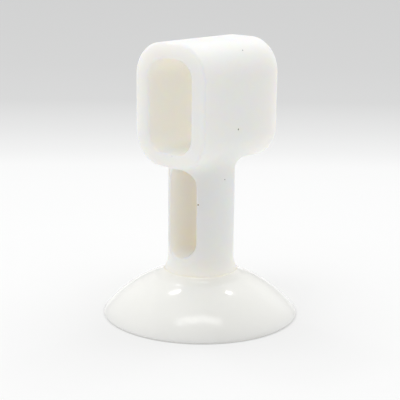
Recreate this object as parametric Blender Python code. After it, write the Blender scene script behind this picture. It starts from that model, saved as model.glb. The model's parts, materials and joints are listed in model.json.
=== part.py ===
"""A soft sleeve on one suction cup: it slides onto a flat lever handle and sticks to a smooth wall or floor.

Frame: metres, +Z up. The origin is the middle of the cup's sealing lip, on the surface it sticks to. The stem
stands along +Z. The sleeve on top of it is open at both ends along Y, and its front mouth faces -Y.
"""

import math

import bmesh
import bpy

# Driving dimensions, in metres.
CUP_RADIUS = 0.0225
CROWN_HEIGHT = 0.01105  # where the dome's arc would meet the axis
LIP_RADIUS = 0.0004  # rounding of the sealing lip's lower edge, up to where the dome starts
LAND_RADIUS = 0.0208  # inner edge of the flat ring that seals
HOLLOW_DEPTH = 0.0058

STEM_RADIUS = 0.0076
FOOT_FILLET = 0.0050  # concave arc from the stem's side onto the dome
SEAM_HEIGHT = 0.0107  # the holder's foot sits on the cup here, part of the way down that arc
FIT_GAP = 0.0003

PLUG_RADIUS = 0.0042
PLUG_BOTTOM = 0.0079
BEAD_HEIGHT = 0.0089  # middle of the bead round the plug
BEAD_RADIUS = 0.0006

SLEEVE_WIDTH = 0.0206
SLEEVE_HEIGHT = 0.0276
SLEEVE_CORNER = 0.0077
SLEEVE_MIDDLE = 0.0497
SLEEVE_FRONT = -0.0109
SLEEVE_BACK = 0.0144
MOUTH_ROUNDING = 0.0005

BORE_WIDTH = 0.0125
BORE_HEIGHT = 0.0210
BORE_CORNER = 0.0044
BORE_MIDDLE = 0.0495

SLOT_WIDTH = 0.0081
SLOT_BOTTOM = 0.0143
SLOT_TOP = 0.0352
SLOT_END = 0.0048  # where along Y the slot, which is open only in front, ends in a thin back wall

# How finely the round shapes are divided.
TURNED_STEPS = 64
DOME_STEPS = 12
CORNER_STEPS = 8
SMALL_ARC_STEPS = 4

IVORY = (0.85, 0.83, 0.77)


def clear_scene():
    for obj in list(bpy.data.objects):
        bpy.data.objects.remove(obj, do_unlink=True)


def silicone(name, roughness):
    made = bpy.data.materials.new(name)
    made.use_nodes = True
    shader = made.node_tree.nodes["Principled BSDF"]
    shader.inputs["Base Color"].default_value = (*IVORY, 1.0)
    shader.inputs["Roughness"].default_value = roughness
    shader.inputs["Metallic"].default_value = 0.0
    return made


def object_of(name, shape):
    """Makes an object of a bmesh, shaded smooth with its sharp edges kept."""
    bmesh.ops.remove_doubles(shape, verts=shape.verts, dist=1e-6)
    bmesh.ops.recalc_face_normals(shape, faces=shape.faces)
    mesh = bpy.data.meshes.new(name)
    shape.to_mesh(mesh)
    shape.free()
    mesh.shade_smooth()
    mesh.set_sharp_from_angle(angle=math.radians(35))
    obj = bpy.data.objects.new(name, mesh)
    bpy.context.scene.collection.objects.link(obj)
    return obj


def combine(obj, other, operation):
    """Joins another shape to this one, or cuts it away, and hides that other shape."""
    modifier = obj.modifiers.new(other.name, "BOOLEAN")
    modifier.operation = operation
    modifier.object = other
    other.hide_render = True
    other.display_type = "WIRE"


def arc(middle, radius, start, end, steps):
    """Points (radius, height) along an arc. The angles are in radians from the horizontal."""
    turns = [start + (end - start) * step / steps for step in range(steps + 1)]
    return [(middle[0] + radius * math.cos(turn), middle[1] + radius * math.sin(turn)) for turn in turns]


def turned(name, profile):
    """Spins a profile of (radius, height) points about Z. Its two ends lie on the axis."""
    shape = bmesh.new()
    points = [shape.verts.new((radius, 0.0, height)) for radius, height in profile]
    edges = [shape.edges.new(pair) for pair in zip(points, points[1:])]
    bmesh.ops.spin(
        shape,
        geom=points + edges,
        cent=(0.0, 0.0, 0.0),
        axis=(0.0, 0.0, 1.0),
        angle=math.tau,
        steps=TURNED_STEPS,
        use_merge=True,
    )
    return object_of(name, shape)


def rounded_outline(width, height, corner, middle):
    """Points (x, z) round an upright rectangle with round corners. Its middle is at x = 0 and that height."""
    points = []
    for quarter in range(4):
        across = (1, -1, -1, 1)[quarter] * (width / 2 - corner)
        up = middle + (1, 1, -1, -1)[quarter] * (height / 2 - corner)
        start = quarter * math.pi / 2
        points += arc((across, up), corner, start, start + math.pi / 2, CORNER_STEPS)
    return points


def along_y(name, stations):
    """Skins a closed solid over (y, outline) stations, whose outlines all have as many points."""
    shape = bmesh.new()
    rings = [[shape.verts.new((x, y, z)) for x, z in outline] for y, outline in stations]
    for ring, following in zip(rings, rings[1:]):
        for index in range(len(ring)):
            beside = (index + 1) % len(ring)
            shape.faces.new((ring[index], ring[beside], following[beside], following[index]))
    shape.faces.new(rings[0])
    shape.faces.new(rings[-1])
    return object_of(name, shape)


def mouth_steps():
    """(distance from the sleeve's end, distance in from its side) over the quarter round of a mouth's edge."""
    for step in range(SMALL_ARC_STEPS + 1):
        turn = math.pi / 2 * (1 - step / SMALL_ARC_STEPS)
        yield MOUTH_ROUNDING * (1 - math.sin(turn)), MOUTH_ROUNDING * (1 - math.cos(turn))


def sleeve_outline(inset):
    return rounded_outline(
        SLEEVE_WIDTH - 2 * inset, SLEEVE_HEIGHT - 2 * inset, SLEEVE_CORNER - inset, SLEEVE_MIDDLE
    )


def bore_outline(flare):
    return rounded_outline(BORE_WIDTH + 2 * flare, BORE_HEIGHT + 2 * flare, BORE_CORNER + flare, BORE_MIDDLE)


def sleeve_blank():
    front = [(SLEEVE_FRONT + depth, sleeve_outline(inset)) for depth, inset in mouth_steps()]
    back = [(SLEEVE_BACK - depth, sleeve_outline(inset)) for depth, inset in mouth_steps()]
    return along_y("holder", front + back[::-1])


def bore_cutter():
    past = 0.002
    front = [(SLEEVE_FRONT + depth, bore_outline(flare)) for depth, flare in mouth_steps()]
    back = [(SLEEVE_BACK - depth, bore_outline(flare)) for depth, flare in mouth_steps()]
    front.insert(0, (SLEEVE_FRONT - past, bore_outline(MOUTH_ROUNDING)))
    back.insert(0, (SLEEVE_BACK + past, bore_outline(MOUTH_ROUNDING)))
    return along_y("bore_cutter", front + back[::-1])


def slot_cutter():
    past = 0.002
    outline = rounded_outline(SLOT_WIDTH, SLOT_TOP - SLOT_BOTTOM, SLOT_WIDTH / 2, (SLOT_TOP + SLOT_BOTTOM) / 2)
    return along_y("slot_cutter", [(-STEM_RADIUS - past, outline), (SLOT_END, outline)])


def dome_circle():
    """(height of its middle, radius) of the dome's arc, which starts at the top of the lip's rounding."""
    rise = CROWN_HEIGHT - LIP_RADIUS
    radius = (rise**2 + CUP_RADIUS**2) / (2 * rise)
    return CROWN_HEIGHT - radius, radius


def foot_circle():
    """(radius from the axis, height) of the middle of the concave arc between the stem and the dome."""
    dome_middle, dome_radius = dome_circle()
    across = STEM_RADIUS + FOOT_FILLET
    return across, dome_middle + math.sqrt((dome_radius + FOOT_FILLET) ** 2 - across**2)


def foot_angle(height):
    """Where the foot's arc passes a height, as an angle about the arc's middle."""
    return math.pi + math.asin((foot_circle()[1] - height) / FOOT_FILLET)


def make_holder():
    """The sleeve, the slotted stem under it and the beaded plug that sits in the cup."""
    bead = arc((PLUG_RADIUS, BEAD_HEIGHT), BEAD_RADIUS, -math.pi / 2, math.pi / 2, SMALL_ARC_STEPS)
    foot = arc(foot_circle(), FOOT_FILLET, foot_angle(SEAM_HEIGHT), math.pi, SMALL_ARC_STEPS)
    stem_top = BORE_MIDDLE - BORE_HEIGHT / 2 + MOUTH_ROUNDING
    profile = [(0.0, PLUG_BOTTOM), (PLUG_RADIUS, PLUG_BOTTOM)]
    profile += bead
    profile += [(PLUG_RADIUS, SEAM_HEIGHT)]
    profile += foot
    profile += [(STEM_RADIUS, stem_top), (0.0, stem_top)]
    holder = sleeve_blank()
    combine(holder, turned("stem_blank", profile), "UNION")
    combine(holder, bore_cutter(), "DIFFERENCE")
    combine(holder, slot_cutter(), "DIFFERENCE")
    holder.data.materials.append(silicone("holder", 0.45))


def make_suction_cup():
    """The dome with its hollow underside, its sealing lip and the socket for the plug."""
    hollow_radius = (LAND_RADIUS**2 + HOLLOW_DEPTH**2) / (2 * HOLLOW_DEPTH)
    hollow_middle = HOLLOW_DEPTH - hollow_radius
    hollow_end = math.atan2(-hollow_middle, LAND_RADIUS)
    profile = arc((0.0, hollow_middle), hollow_radius, math.pi / 2, hollow_end, DOME_STEPS)

    dome_middle, dome_radius = dome_circle()
    lip = (CUP_RADIUS - LIP_RADIUS, LIP_RADIUS)
    dome_start = math.atan2(LIP_RADIUS - dome_middle, CUP_RADIUS)
    profile += arc(lip, LIP_RADIUS, -math.pi / 2, 0.0, SMALL_ARC_STEPS)
    foot_middle = foot_circle()
    dome_end = math.atan2(foot_middle[1] - dome_middle, foot_middle[0])
    profile += arc((0.0, dome_middle), dome_radius, dome_start, dome_end, DOME_STEPS)

    seat = SEAM_HEIGHT - FIT_GAP
    profile += arc(foot_middle, FOOT_FILLET, math.pi + dome_end, foot_angle(seat), SMALL_ARC_STEPS)
    socket_radius = PLUG_RADIUS + FIT_GAP
    groove_radius = BEAD_RADIUS + FIT_GAP
    groove_turn = math.acos(FIT_GAP / groove_radius)
    profile += [(socket_radius, seat)]
    profile += arc((PLUG_RADIUS, BEAD_HEIGHT), groove_radius, groove_turn, -groove_turn, SMALL_ARC_STEPS)
    profile += [(socket_radius, PLUG_BOTTOM - FIT_GAP), (0.0, PLUG_BOTTOM - FIT_GAP)]
    cup = turned("suction_cup", profile)
    cup.data.materials.append(silicone("suction_cup", 0.15))


clear_scene()
make_holder()
make_suction_cup()
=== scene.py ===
"""The looks of the suction cup handle holder: two silicone mouldings, a pale stage and soft light.

Everything is in metres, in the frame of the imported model: +Z runs up the stem, and the sleeve's front mouth
faces -Y.
"""

import json
import math

import bpy
import numpy as np
from mathutils import Matrix, Vector


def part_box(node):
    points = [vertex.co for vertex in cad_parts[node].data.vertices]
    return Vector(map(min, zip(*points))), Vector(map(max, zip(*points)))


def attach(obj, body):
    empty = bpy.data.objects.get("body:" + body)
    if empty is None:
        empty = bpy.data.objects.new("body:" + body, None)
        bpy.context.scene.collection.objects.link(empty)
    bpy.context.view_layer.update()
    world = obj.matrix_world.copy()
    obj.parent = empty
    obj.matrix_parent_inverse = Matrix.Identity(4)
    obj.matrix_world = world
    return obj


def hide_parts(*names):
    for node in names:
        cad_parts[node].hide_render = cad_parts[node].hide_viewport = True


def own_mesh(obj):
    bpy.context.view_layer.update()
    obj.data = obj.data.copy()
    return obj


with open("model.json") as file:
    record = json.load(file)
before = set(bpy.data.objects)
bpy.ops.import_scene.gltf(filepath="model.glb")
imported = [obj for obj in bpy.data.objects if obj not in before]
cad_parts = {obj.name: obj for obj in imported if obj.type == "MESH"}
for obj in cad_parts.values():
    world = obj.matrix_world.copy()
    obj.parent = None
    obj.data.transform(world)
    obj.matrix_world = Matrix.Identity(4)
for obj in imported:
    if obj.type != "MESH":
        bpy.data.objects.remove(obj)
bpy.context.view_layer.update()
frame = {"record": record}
mounts = {mount["name"]: mount["pos_m"] for mount in frame["record"]["mounts"]}

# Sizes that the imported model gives.
holder_low, holder_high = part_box("holder")
_, cup_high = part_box("suction_cup")
SLEEVE_HALF_WIDTH = holder_high[0]
SLEEVE_FRONT = holder_low[1]
SLEEVE_BACK = holder_high[1]
SLEEVE_TOP = holder_high[2]
PLUG_BOTTOM = holder_low[2]
CUP_RADIUS = cup_high[0]
SEAT = cup_high[2]
BORE_HALF_WIDTH = abs(mounts["bore_side"][0])
BORE_MIDDLE = mounts["bore_side"][2]
BORE_HALF_HEIGHT = BORE_MIDDLE - mounts["bore_floor"][2]

# Sizes that it holds without naming: the sleeve and the stem.
SLEEVE_MIDDLE = 0.0497
SLEEVE_CORNER = 0.0077
BORE_CORNER = 0.0044
MOUTH_ROUNDING = 0.0005
STEM_RADIUS = 0.0076
SLOT_HALF_WIDTH = 0.00405
SLOT_BOTTOM = 0.0143
SLOT_TOP = 0.0352
SLOT_END = 0.0048  # the slot is open only in front
SLOT_ROUNDING = 0.0003
NECK_FILLET = 0.0022  # where the stem runs into the sleeve

# The cup.
FOOT_FILLET = 0.0050
CROWN_HEIGHT = 0.01105  # where the dome's arc would meet the axis
LIP_RADIUS = 0.0004
LAND_RADIUS = 0.0208
HOLLOW_DEPTH = 0.0058

# The joint between them.
PLUG_RADIUS = 0.0042
PLUG_ROOT = 0.001  # how far the plug runs up into the stem
PLUG_BEAD = 0.0006
BEAD_HEIGHT = 0.0089
FOOT_RADIUS = 0.00838  # where the foot drops into the cup
BEVEL_RADIUS = 0.00874  # outer edge of the cup's narrow bevel round the foot
BEVEL_TILT = math.radians(42.5)
RIM_ROUNDING = 0.00006  # of the bevel's inner edge
SEAM_GAP = 0.00005
SOCKET_GAP = 0.0003
GROOVE_TOP = 0.0098
SOCKET_FLOOR = 0.00655  # low enough to clear the plug with the cup pressed flat
HIDDEN_BOTTOM = SOCKET_FLOOR - 0.0001  # the joint's hidden faces lie between these heights
HIDDEN_TOP = 0.0107

# How finely the surfaces are divided.
GRID_STEP = 0.0003
GRID_BEFORE = 2.5  # grid steps left free before and after the shape
GRID_AFTER = 3
SETTLE_ROUNDS = 3
SLOPE_REACH = 2e-6  # how far to either side of a point the field's gradient is measured
LEAST_STEEPNESS = 0.05  # keeps a point from leaping where the field is nearly level
TURNED_STEPS = 256
ARC_STEP = 0.0003
FILLET_STEP = 0.0001
LIP_STEP = 0.00005
RIM_STEP = 0.00002
SAME_POINT = 1e-7
ON_AXIS = 1e-9
SHARP_ANGLE = math.radians(50)

# The silicone.
ALBEDO = (0.99, 0.96, 0.885)
MOTTLE_SHADE = 0.985  # the darkest of the mottle, as a share of the colour
MOTTLE_SCALE = 220
MOTTLE_DETAIL = 4
ROUGHNESS_SPREAD = 0.08
GRAIN_SCALE = 1400
GRAIN_STRENGTH = 0.25
GRAIN_DEPTH = 0.00004
IOR = 1.42
HOLDER_ROUGHNESS = 0.42
HOLDER_SCATTER = 0.011  # how far light scatters inside
HOLDER_REACH = (1.0, 0.75, 0.5)  # how far red, green and blue scatter, as shares of that length
CUP_ROUGHNESS = 0.10
CUP_SCATTER = 0.002
CUP_REACH = (1.0, 1.0, 1.0)
SPECK_COLOUR = (0.06, 0.055, 0.035, 1)
SPECK_EDGE = 0.3  # how soft a speck's edge is, as a share of its radius
HOLDER_SPECKS = (  # place, radius
    ((0.00446, -0.00615, 0.02745), 0.00019),
    ((0.0103, 0.00045, 0.04446), 0.00018),
    ((0.00784, 0.0044, 0.06141), 0.00013),
    ((0.00078, -0.0109, 0.03878), 0.0001),
    ((0.00753, 0.00096, 0.03606), 0.0001),
    ((0.00757, -0.0007, 0.03284), 0.0001),
)
# Painted light: a mottled glow on the hidden faces inside the joint, standing in for light carried through
# the silicone.
INNER_LIGHT = 1.0
INNER_COLOUR = (0.84, 0.80, 0.68, 1)
INNER_SCALE = 200
INNER_SPREAD = 0.05

# The camera looks along these angles, at a point given across and up its view.
AZIMUTH = math.radians(41.2)
ELEVATION = math.radians(13.92)
ROLL = math.radians(0.585)
CAMERA_DISTANCE = 0.2711
LOOK_ACROSS = -0.000285
LOOK_UP = 0.02592
SENSOR_WIDTH_MM = 36
LENS_MM = 103.5
CLIP_START = 0.01

# Each lamp: name, the point it lights on the dome, the direction from there to it, its length across the
# view, its width and its radiance.
LAMPS = (
    ("strip", (0.012, -0.015, 0.004), (0.092, -0.135, 0.986), 0.40, 0.09, 3.6),
    ("lamp_right", (0.0126, -0.0043, 0.0077), (-0.067, 0.549, 0.833), 0.035, 0.035, 18.0),
    ("lamp_left", (0.0032, -0.0127, 0.0078), (-0.5, 0.152, 0.852), 0.08, 0.03, 15.0),
)
LAMP_DISTANCE = 0.6

# The tent's panels of light: degrees round from the camera's side, degrees up, and brightness.
TENT = 0.375
PANELS = (
    (120, 32, 0.86),
    (180, 32, 0.36),
    (240, 32, 0.41),
    (315, 50, 0.32),
    (180, 62, 0.23),
    (270, 62, 0.48),
)
PANEL_EDGE = 0.64  # cosine of the angle from a panel's middle to its faint edge
PANEL_MIDDLE = 0.985  # and to the edge of its full brightness

FLOOR_RADIUS = 2.5
FLOOR_SIDES = 96
# Painted shade: the floor's grey dips near the object, a painted shadow round its base, and falls to a light
# grey far behind it, a painted falloff of the light.
FLOOR_STOPS = (  # distance from the object, shade
    (0.0, 0.9),
    (0.024, 0.912),
    (0.032, 0.938),
    (0.046, 0.961),
    (0.07, 0.97),
    (0.13, 0.963),
    (0.161, 0.95),
    (0.189, 0.885),
    (0.232, 0.812),
    (0.314, 0.705),
    (0.45, 0.685),
    (1.2, 0.675),
)
FLOOR_SQUARENESS = 4  # 2 would shade the floor in circles, and more comes nearer to squares
FLOOR_TINT = (0.995, 1.0, 0.998, 1)
FLOOR_MATT = (0.42, 0.42, 0.42, 1)
FLOOR_GLOW = 0.55
# The floor's glow drops under the cup's rim and rises just outside it: a painted contact shadow.
UNDER_CUP_GLOW = 0.1
UNDER_CUP_START = CUP_RADIUS - 0.0012
UNDER_CUP_END = CUP_RADIUS + 0.0006


# Distance fields: negative inside a shape, and round where two shapes blend.


def box_field(across, up, half_width, half_height, corner):
    """A rectangle with round corners."""
    out_across = np.abs(across) - (half_width - corner)
    out_up = np.abs(up) - (half_height - corner)
    outside = np.hypot(np.maximum(out_across, 0), np.maximum(out_up, 0))
    return outside + np.minimum(np.maximum(out_across, out_up), 0) - corner


def between(values, low, high):
    """A slab from low to high."""
    return np.abs(values - (low + high) / 2) - (high - low) / 2


def round_join(one, other, radius):
    """Both shapes, with a concave fillet between them."""
    near = np.hypot(np.maximum(radius - one, 0), np.maximum(radius - other, 0))
    return np.maximum(radius, np.minimum(one, other)) - near


def round_common(one, other, radius):
    """What two shapes share, with its edges rounded over."""
    near = np.hypot(np.maximum(radius + one, 0), np.maximum(radius + other, 0))
    return np.minimum(-radius, np.maximum(one, other)) + near


def dome_circle():
    """(height of its middle, radius) of the dome's arc, which starts at the top of the lip's rounding."""
    rise = CROWN_HEIGHT - LIP_RADIUS
    radius = (rise**2 + CUP_RADIUS**2) / (2 * rise)
    return CROWN_HEIGHT - radius, radius


def foot_circle():
    """(radius from the axis, height) of the middle of the concave arc between the stem and the dome."""
    dome_middle, dome_radius = dome_circle()
    across = STEM_RADIUS + FOOT_FILLET
    return across, dome_middle + math.sqrt((dome_radius + FOOT_FILLET) ** 2 - across**2)


def holder_field(points):
    """The sleeve on its slotted stem, with the plug below."""
    x, y, z = points[..., 0], points[..., 1], points[..., 2]
    sleeve_half_height = SLEEVE_TOP - SLEEVE_MIDDLE
    outline = box_field(x, z - SLEEVE_MIDDLE, SLEEVE_HALF_WIDTH, sleeve_half_height, SLEEVE_CORNER)
    sleeve = round_common(outline, between(y, SLEEVE_FRONT, SLEEVE_BACK), MOUTH_ROUNDING)

    from_axis = np.hypot(x, y)
    foot_across, foot_height = foot_circle()
    flare = FOOT_FILLET - np.hypot(np.maximum(foot_across - from_axis, 0), foot_height - z)
    stem = np.where(z < foot_height, flare, from_axis - STEM_RADIUS)
    stem = np.maximum(stem, z - BORE_MIDDLE)
    stem = np.maximum(stem, from_axis - FOOT_RADIUS)
    stem = np.maximum(stem, SEAT + SEAM_GAP - z)
    solid = round_join(sleeve, stem, NECK_FILLET)

    bore = box_field(x, z - BORE_MIDDLE, BORE_HALF_WIDTH, BORE_HALF_HEIGHT, BORE_CORNER)
    solid = round_common(solid, -bore, MOUTH_ROUNDING)
    slot_middle = (SLOT_TOP + SLOT_BOTTOM) / 2
    slot_half_height = (SLOT_TOP - SLOT_BOTTOM) / 2
    slot = box_field(x, z - slot_middle, SLOT_HALF_WIDTH, slot_half_height, SLOT_HALF_WIDTH)
    slot = round_common(slot, y - SLOT_END, SLOT_ROUNDING)
    solid = round_common(solid, -slot, SLOT_ROUNDING)

    plug = np.maximum(from_axis - PLUG_RADIUS, between(z, PLUG_BOTTOM, SEAT + PLUG_ROOT))
    bead = np.hypot(from_axis - PLUG_RADIUS, z - BEAD_HEIGHT) - PLUG_BEAD
    return np.minimum(solid, np.minimum(plug, bead))


# Meshes.


def mesh_object(name, points, faces):
    """A new object in the scene, of these points and faces."""
    mesh = bpy.data.meshes.new(name)
    mesh.from_pydata(points, [], faces)
    mesh.validate()
    obj = bpy.data.objects.new(name, mesh)
    bpy.context.scene.collection.objects.link(obj)
    return obj


def field_mesh(name, field, low, high, step):
    """Quads over a field's surface: one vertex in each grid cell that it crosses, settled onto it."""
    starts = [start - GRID_BEFORE * step for start in low]
    ends = [end + GRID_AFTER * step for end in high]
    axes = [np.arange(start, end, step) for start, end in zip(starts, ends)]
    grid = np.stack(np.meshgrid(*axes, indexing="ij"), axis=-1)
    values = field(grid)
    shape = np.array(values.shape) - 1
    cell_points = np.zeros((*shape, 3))
    cell_counts = np.zeros(shape, int)
    quads = []
    units = np.eye(3, dtype=int)
    for axis in range(3):
        # Each grid edge that the surface crosses gives one quad, between the four cells round that edge.
        start = values[tuple(slice(0, size - unit) for size, unit in zip(values.shape, units[axis]))]
        end = values[tuple(slice(unit, size) for size, unit in zip(values.shape, units[axis]))]
        index = np.argwhere((start < 0) != (end < 0))
        first, second = start[tuple(index.T)], end[tuple(index.T)]
        share = first / (first - second)
        crossing = grid[tuple(index.T)] + share[:, None] * units[axis] * step
        side, other = units[(axis + 1) % 3], units[(axis + 2) % 3]
        around = [index, index - side, index - side - other, index - other]
        for cells in around:
            np.add.at(cell_points, tuple(cells.T), crossing)
            np.add.at(cell_counts, tuple(cells.T), 1)
        quad = np.stack([np.ravel_multi_index(cells.T, shape) for cells in around], axis=1)
        quads.append(np.where((first < 0)[:, None], quad, quad[:, ::-1]))
    used, faces = np.unique(np.concatenate(quads), return_inverse=True)
    points = cell_points.reshape(-1, 3)[used] / cell_counts.reshape(-1)[used][:, None]
    faces = faces.reshape(-1, 4)
    for _ in range(SETTLE_ROUNDS):
        points = settled(evened(points, faces), field)
    obj = mesh_object(name, points.tolist(), faces.tolist())
    obj.data.shade_smooth()
    return obj


def evened(points, faces):
    """Moves each vertex half-way to the middle of its neighbours."""
    total = np.zeros_like(points)
    count = np.zeros(len(points))
    for shift in (1, 3):  # the corners before and after it in each quad
        np.add.at(total, faces, points[np.roll(faces, shift, axis=1)])
        np.add.at(count, faces, 1)
    return (points + total / count[:, None]) / 2


def slope(points, field):
    """The field's gradient."""
    parts = []
    for unit in np.eye(3):
        rise = field(points + SLOPE_REACH * unit) - field(points - SLOPE_REACH * unit)
        parts.append(rise / (2 * SLOPE_REACH))
    return np.stack(parts, axis=-1)


def settled(points, field):
    """Moves the points onto the field's surface."""
    for _ in range(SETTLE_ROUNDS):
        gradient = slope(points, field)
        steepness = np.maximum((gradient**2).sum(axis=1), LEAST_STEEPNESS)
        points = points - (field(points) / steepness)[:, None] * gradient
    return points


def arc(middle, radius, start, end, longest=ARC_STEP):
    """Points (radius, height) along an arc, no further apart than longest. The angles are in radians."""
    steps = max(3, math.ceil(abs(end - start) * radius / longest))
    turns = np.linspace(start, end, steps + 1)
    return [(middle[0] + radius * math.cos(turn), middle[1] + radius * math.sin(turn)) for turn in turns]


def turned_mesh(name, profile):
    """Turns a profile of (radius, height) points about Z. Its two ends lie on the axis."""
    apart = [math.dist(point, after) > SAME_POINT for point, after in zip(profile, profile[1:])]
    profile = [point for point, kept in zip(profile, apart + [True]) if kept]
    steps = TURNED_STEPS
    turns = np.arange(steps) * math.tau / steps
    middle = np.array([point for point in profile if point[0] > ON_AXIS])
    heights = np.repeat(middle[:, 1:], steps, axis=1)
    rings = np.stack([middle[:, :1] * np.cos(turns), middle[:, :1] * np.sin(turns), heights], axis=-1)
    ends = np.array([(0, 0, profile[0][1]), (0, 0, profile[-1][1])])
    points = np.concatenate([rings.reshape(-1, 3), ends])

    faces = []
    for ring in range(len(middle) - 1):
        here, above = ring * steps, (ring + 1) * steps
        for step in range(steps):
            beside = (step + 1) % steps
            faces.append((here + step, here + beside, above + beside, above + step))
    top = (len(middle) - 1) * steps
    first, last = len(points) - 2, len(points) - 1
    for step in range(steps):
        beside = (step + 1) % steps
        faces.append((first, beside, step))
        faces.append((last, top + step, top + beside))
    obj = mesh_object(name, points.tolist(), faces)
    obj.data.shade_smooth()
    obj.data.set_sharp_from_angle(angle=SHARP_ANGLE)
    return obj


def cup_profile():
    """From the hollow's apex out under the lip, up over the dome and the bevelled rim, into the socket."""
    hollow_radius = (LAND_RADIUS**2 + HOLLOW_DEPTH**2) / (2 * HOLLOW_DEPTH)
    hollow_middle = HOLLOW_DEPTH - hollow_radius
    hollow_end = math.atan2(-hollow_middle, LAND_RADIUS)
    profile = arc((0, hollow_middle), hollow_radius, math.pi / 2, hollow_end)

    dome_middle, dome_radius = dome_circle()
    foot = foot_circle()
    dome_start = math.atan2(LIP_RADIUS - dome_middle, CUP_RADIUS)
    dome_end = math.atan2(foot[1] - dome_middle, foot[0])
    profile += arc((CUP_RADIUS - LIP_RADIUS, LIP_RADIUS), LIP_RADIUS, -math.pi / 2, 0.0, LIP_STEP)
    profile += arc((0, dome_middle), dome_radius, dome_start, dome_end)

    # The fillet ends in a narrow bevel and a finely rounded rim round the foot.
    bevel_start = math.pi + math.acos((foot[0] - BEVEL_RADIUS) / FOOT_FILLET)
    profile += arc(foot, FOOT_FILLET, math.pi + dome_end, bevel_start, FILLET_STEP)
    rim_across = FOOT_RADIUS + SEAM_GAP + RIM_ROUNDING
    rim_height = profile[-1][1] + (profile[-1][0] - rim_across) * math.tan(BEVEL_TILT)
    rim = (rim_across, rim_height - RIM_ROUNDING / math.cos(BEVEL_TILT))
    profile += arc(rim, RIM_ROUNDING, math.pi / 2 - BEVEL_TILT, math.pi, RIM_STEP)
    profile += [(FOOT_RADIUS + SEAM_GAP, SEAT)]

    # Inside is room for the plug and its bead, both at rest and with the cup pressed flat.
    socket = PLUG_RADIUS + SOCKET_GAP
    groove = socket + PLUG_BEAD
    profile += [(socket, SEAT), (socket, GROOVE_TOP)]
    profile += [(groove, GROOVE_TOP), (groove, SOCKET_FLOOR), (0.0, SOCKET_FLOOR)]
    return profile


# Materials.


def new_material(name):
    """(a new material, its node tree)"""
    made = bpy.data.materials.new(name)
    made.use_nodes = True
    return made, made.node_tree


def feed(tree, node, inputs):
    """Gives each named or numbered input its value, or a link from the output that is given instead."""
    for socket, value in inputs.items():
        if isinstance(value, bpy.types.NodeSocket):
            tree.links.new(value, node.inputs[socket])
        else:
            node.inputs[socket].default_value = value


def add_node(tree, kind, inputs, **settings):
    """A new shader node with these inputs, as feed takes them, and these settings."""
    node = tree.nodes.new("ShaderNode" + kind)
    for setting, value in settings.items():
        setattr(node, setting, value)
    feed(tree, node, inputs)
    return node


def hidden_glow():
    """A painted glow for the faces inside the joint: it stands in for the light in the soft walls, which
    would otherwise run out there.
    """
    made, tree = new_material("inner_light")
    tree.nodes.clear()
    mottle = add_node(tree, "TexNoise", {"Scale": INNER_SCALE})
    span = {"To Min": INNER_LIGHT * (1 - INNER_SPREAD), "To Max": INNER_LIGHT * (1 + INNER_SPREAD)}
    strength = add_node(tree, "MapRange", {"Value": mottle.outputs["Fac"], **span})
    glow = add_node(tree, "Emission", {"Color": INNER_COLOUR, "Strength": strength.outputs["Result"]})
    add_node(tree, "OutputMaterial", {"Surface": glow.outputs["Emission"]})
    return made


def light_hidden_faces(obj, radius):
    """Gives the second material, the painted glow, to the faces inside the joint, within a radius of the
    axis.
    """
    for face in obj.data.polygons:
        middle = face.center
        if math.hypot(middle.x, middle.y) < radius and HIDDEN_BOTTOM < middle.z < HIDDEN_TOP:
            face.material_index = 1


def with_specks(tree, places, colour, specks):
    """The colour output, with dark dust specks laid over it at the given (place, radius) pairs."""
    for place, radius in specks:
        apart = add_node(tree, "VectorMath", {0: places, 1: place}, operation="DISTANCE")
        edge = {"From Min": radius * (1 - SPECK_EDGE), "From Max": radius * (1 + SPECK_EDGE)}
        span = {"To Min": 1, "To Max": 0}
        cover = add_node(tree, "MapRange", {"Value": apart.outputs["Value"], **edge, **span})
        layers = {"Factor": cover.outputs["Result"], "A": colour, "B": SPECK_COLOUR}
        colour = add_node(tree, "Mix", layers, data_type="RGBA").outputs["Result"]
    return colour


def silicone(name, roughness, scatter, reach, specks):
    """Pale, slightly translucent silicone, faintly mottled and finely grained, with dust specks."""
    made, tree = new_material(name)
    places = add_node(tree, "TexCoord", {}).outputs["Object"]
    mottle = add_node(tree, "TexNoise", {"Vector": places, "Scale": MOTTLE_SCALE, "Detail": MOTTLE_DETAIL})
    shade = (*[part * MOTTLE_SHADE for part in ALBEDO], 1)
    layers = {"Factor": mottle.outputs["Fac"], "A": shade, "B": (*ALBEDO, 1)}
    tint = add_node(tree, "Mix", layers, data_type="RGBA")
    colour = with_specks(tree, places, tint.outputs["Result"], specks)
    span = {"To Min": roughness * (1 - ROUGHNESS_SPREAD), "To Max": roughness * (1 + ROUGHNESS_SPREAD)}
    gloss = add_node(tree, "MapRange", {"Value": mottle.outputs["Fac"], **span})
    grain = add_node(tree, "TexNoise", {"Vector": places, "Scale": GRAIN_SCALE})
    bumps = {"Height": grain.outputs["Fac"], "Strength": GRAIN_STRENGTH, "Distance": GRAIN_DEPTH}
    bump = add_node(tree, "Bump", bumps)
    looks = {
        "Base Color": colour,
        "Roughness": gloss.outputs["Result"],
        "Normal": bump.outputs["Normal"],
        "IOR": IOR,
        "Subsurface Weight": 1,
        "Subsurface Radius": reach,
        "Subsurface Scale": scatter,
    }
    feed(tree, tree.nodes["Principled BSDF"], looks)
    return made


def set_stops(ramp, stops):
    """Fills a ramp with greys at positions from 0 to 1."""
    while len(ramp.elements) < len(stops):
        ramp.elements.new(1)
    for element, (position, shade) in zip(ramp.elements, stops):
        element.position = position
        element.color = (shade, shade, shade, 1)


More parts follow.
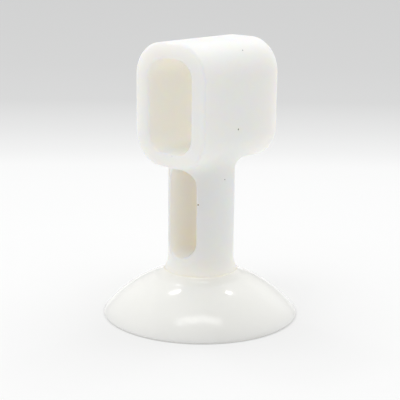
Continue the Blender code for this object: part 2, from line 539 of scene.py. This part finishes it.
def floor_shade(tree, places):
    """Painted greys by distance from the object, in a rounded square so that they lie level behind it."""
    turned = add_node(tree, "VectorRotate", {"Vector": places, "Angle": -AZIMUTH}, rotation_type="Z_AXIS")
    parts = add_node(tree, "SeparateXYZ", {"Vector": turned.outputs["Vector"]})
    powers = []
    for part in ("X", "Y"):
        size = add_node(tree, "Math", {0: parts.outputs[part]}, operation="ABSOLUTE")
        power = add_node(tree, "Math", {0: size.outputs["Value"], 1: FLOOR_SQUARENESS}, operation="POWER")
        powers.append(power.outputs["Value"])
    total = add_node(tree, "Math", {0: powers[0], 1: powers[1]})
    away = add_node(tree, "Math", {0: total.outputs["Value"], 1: 1 / FLOOR_SQUARENESS}, operation="POWER")
    furthest = FLOOR_STOPS[-1][0]
    share = add_node(tree, "Math", {0: away.outputs["Value"], 1: furthest}, operation="DIVIDE")
    ramp = add_node(tree, "ValToRGB", {"Fac": share.outputs["Value"]})
    set_stops(ramp.color_ramp, [(reach / furthest, shade) for reach, shade in FLOOR_STOPS])
    return ramp.outputs["Color"]


def times(tree, one, other):
    """The product of two colours."""
    sides = {"Factor": 1, "A": one, "B": other}
    return add_node(tree, "Mix", sides, data_type="RGBA", blend_type="MULTIPLY").outputs["Result"]


def floor_white():
    """Matt white that also glows, so that the shadows on it stay soft, with its glow dimmed under the cup's
    rim as a painted contact shadow.
    """
    made, tree = new_material("floor")
    tree.nodes.clear()
    places = add_node(tree, "TexCoord", {}).outputs["Object"]
    shade = floor_shade(tree, places)
    from_axis = add_node(tree, "VectorMath", {0: places}, operation="LENGTH")
    # Painted contact shadow: the glow is dimmed under and just round the cup's rim.
    edge = {"From Min": UNDER_CUP_START, "From Max": UNDER_CUP_END}
    span = {"To Min": UNDER_CUP_GLOW, "To Max": FLOOR_GLOW}
    steps = {"Value": from_axis.outputs["Value"], **edge, **span}
    strength = add_node(tree, "MapRange", steps, interpolation_type="SMOOTHSTEP").outputs["Result"]
    glow = add_node(tree, "Emission", {"Color": times(tree, shade, FLOOR_TINT), "Strength": strength})
    matt = add_node(tree, "BsdfDiffuse", {"Color": times(tree, shade, FLOOR_MATT)})
    both = add_node(tree, "AddShader", {0: glow.outputs["Emission"], 1: matt.outputs["BSDF"]})
    add_node(tree, "OutputMaterial", {"Surface": both.outputs["Shader"]})
    return made


# The camera, the stage and the lights.


def camera_axes():
    """The unit vectors to the camera's right, up, and back from the object to it."""
    level = math.cos(ELEVATION)
    back = Vector((math.sin(AZIMUTH) * level, -math.cos(AZIMUTH) * level, math.sin(ELEVATION)))
    right = Vector((math.cos(AZIMUTH), math.sin(AZIMUTH), 0))
    return right, back.cross(right), back


def turned_by(right, up, back):
    """The turn that takes X, Y and Z to these three."""
    return Matrix((right, up, back)).transposed().to_4x4()


def make_camera():
    data = bpy.data.cameras.new("camera")
    data.sensor_width = SENSOR_WIDTH_MM
    data.lens = LENS_MM
    data.clip_start = CLIP_START
    camera = bpy.data.objects.new("camera", data)
    bpy.context.scene.collection.objects.link(camera)
    right, up, back = camera_axes()
    place = right * LOOK_ACROSS + up * LOOK_UP + back * CAMERA_DISTANCE
    turn = turned_by(right, up, back) @ Matrix.Rotation(ROLL, 4, "Z")
    camera.matrix_world = Matrix.Translation(place) @ turn
    bpy.context.scene.camera = camera


def make_lamp(name, lit, direction, length, width, radiance):
    """A rectangle of light, unseen by the camera, that faces the lit point. Its length is across the view."""
    right, _, _ = camera_axes()
    back = Vector(direction).normalized()
    across = (right - back * back.dot(right)).normalized()
    data = bpy.data.lights.new(name, "AREA")
    data.shape = "RECTANGLE"
    data.size = length
    data.size_y = width
    data.energy = radiance * math.pi * length * width
    lamp = bpy.data.objects.new(name, data)
    bpy.context.scene.collection.objects.link(lamp)
    turn = turned_by(across, back.cross(across), back)
    lamp.matrix_world = Matrix.Translation(Vector(lit) + back * LAMP_DISTANCE) @ turn
    lamp.visible_camera = False


def make_floor():
    """A wide disc, white round the object and falling to a light grey behind it."""
    turns = [math.tau * side / FLOOR_SIDES for side in range(FLOOR_SIDES)]
    rim = [(FLOOR_RADIUS * math.cos(turn), FLOOR_RADIUS * math.sin(turn), 0) for turn in turns]
    faces = [(0, 1 + side, 1 + (side + 1) % FLOOR_SIDES) for side in range(FLOOR_SIDES)]
    floor = mesh_object("floor", [(0, 0, 0), *rim], faces)
    floor.data.materials.append(floor_white())


def toward(azimuth, elevation):
    """A direction as degrees round from the camera's side, anticlockwise from above, and degrees up."""
    turn = AZIMUTH + math.radians(azimuth)
    rise = math.radians(elevation)
    return math.cos(rise) * math.sin(turn), -math.cos(rise) * math.cos(turn), math.sin(rise)


def make_world():
    """A grey tent with soft bright panels."""
    world = bpy.data.worlds.new("tent")
    bpy.context.scene.world = world
    world.use_nodes = True
    tree = world.node_tree
    ways = add_node(tree, "TexCoord", {}).outputs["Generated"]
    total = TENT
    for azimuth, elevation, brightness in PANELS:
        directions = {0: ways, 1: toward(azimuth, elevation)}
        across = add_node(tree, "VectorMath", directions, operation="DOT_PRODUCT").outputs["Value"]
        steps = {"Value": across, "From Min": PANEL_EDGE, "From Max": PANEL_MIDDLE, "To Max": brightness}
        panel = add_node(tree, "MapRange", steps, interpolation_type="SMOOTHSTEP")
        total = add_node(tree, "Math", {0: total, 1: panel.outputs["Result"]}).outputs["Value"]
    feed(tree, tree.nodes["Background"], {"Color": total})


# The pieces.


def make_holder():
    holder = field_mesh("holder_moulding", holder_field, holder_low, holder_high, GRID_STEP)
    skin = silicone("holder_silicone", HOLDER_ROUGHNESS, HOLDER_SCATTER, HOLDER_REACH, HOLDER_SPECKS)
    holder.data.materials.append(skin)
    holder.data.materials.append(hidden_glow())
    light_hidden_faces(holder, FOOT_RADIUS + SEAM_GAP)
    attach(holder, "sleeve")
    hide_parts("holder")


def make_cup():
    cup = turned_mesh("cup_moulding", cup_profile())
    cup.data.materials.append(silicone("cup_silicone", CUP_ROUGHNESS, CUP_SCATTER, CUP_REACH, ()))
    cup.data.materials.append(hidden_glow())
    light_hidden_faces(cup, FOOT_RADIUS + SEAM_GAP + RIM_ROUNDING)
    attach(cup, "cup")
    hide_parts("suction_cup")
    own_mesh(cup)


def main():
    bpy.context.scene.view_settings.view_transform = "Standard"
    make_camera()
    make_floor()
    make_world()
    for lamp in LAMPS:
        make_lamp(*lamp)
    make_holder()
    make_cup()


main()
